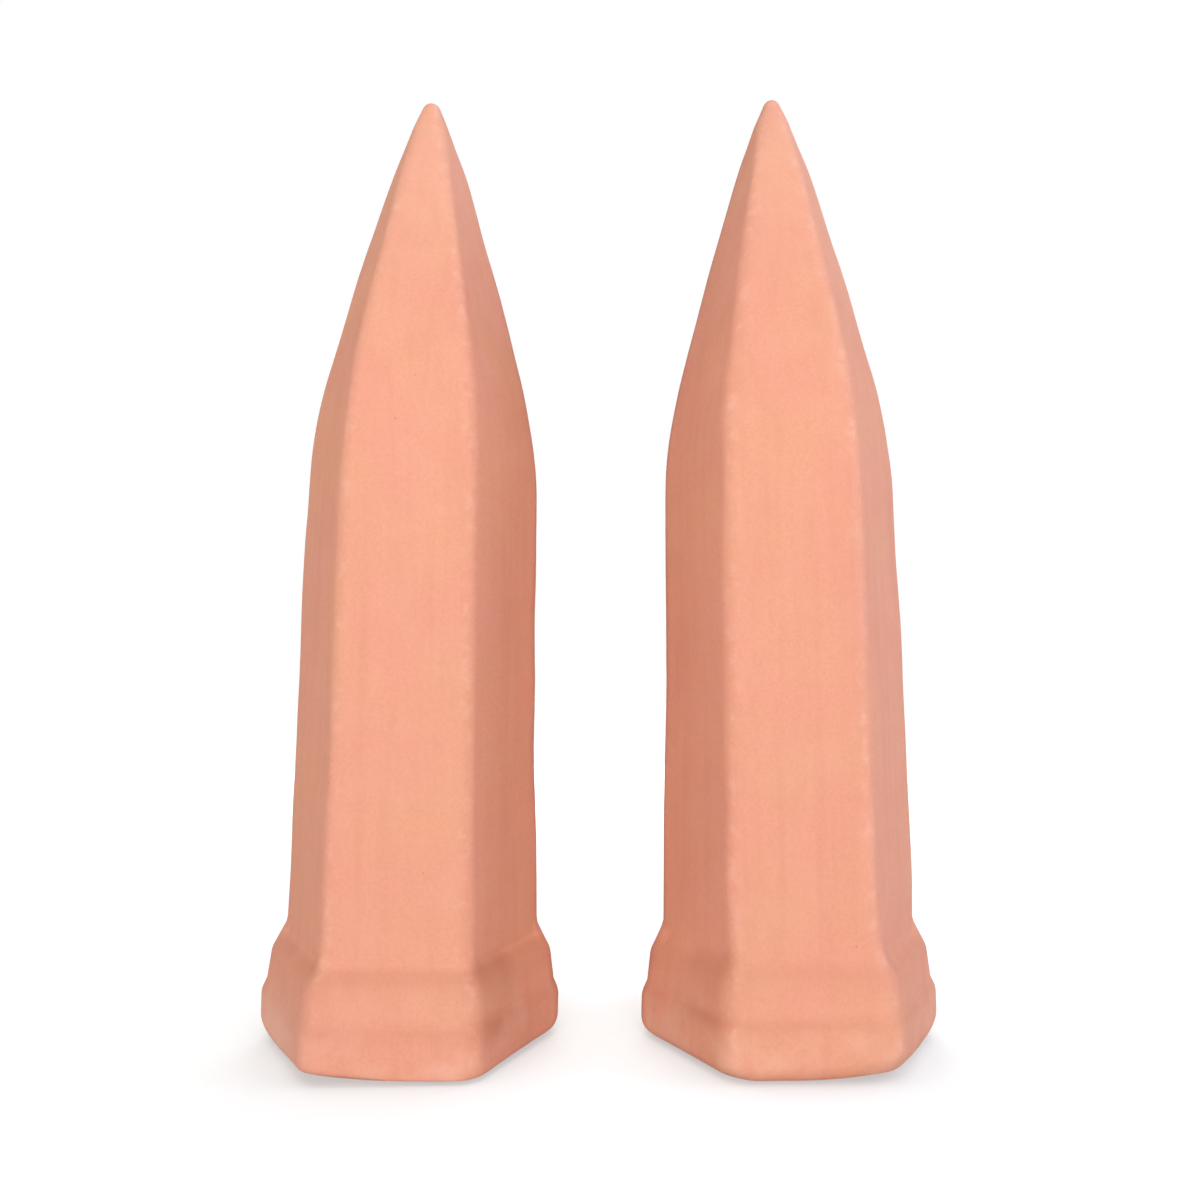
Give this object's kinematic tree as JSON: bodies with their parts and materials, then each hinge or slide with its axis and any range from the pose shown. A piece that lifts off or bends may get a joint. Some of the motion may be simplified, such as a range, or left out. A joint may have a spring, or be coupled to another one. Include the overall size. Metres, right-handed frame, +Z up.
{
  "type": "self watering spike",
  "caption": "Hollow hexagonal clay watering spikes with pointed tips and beaded mouths; each holds the neck of an upturned bottle and seeps its water into the soil.",
  "frame": {"origin": "midway between the two spikes, on the plane that their rims stand on", "axes": "+Z up along the spikes towards the tips, +X from the left spike to the right one, +Y away from the viewer"},
  "size_m": [0.121, 0.048, 0.178],
  "materials": {
    "terracotta": "unglazed, matte, fired clay"
  },
  "bodies": {
    "left_spike": {"left_spike": "terracotta"},
    "right_spike": {"right_spike": "terracotta"}
  },
  "joints": [
    {"name": "right_spike_lift", "type": "slide", "parent": "left_spike", "child": "right_spike", "axis": [0, 0, 1], "range_m": [0, 0.2]}
  ]
}
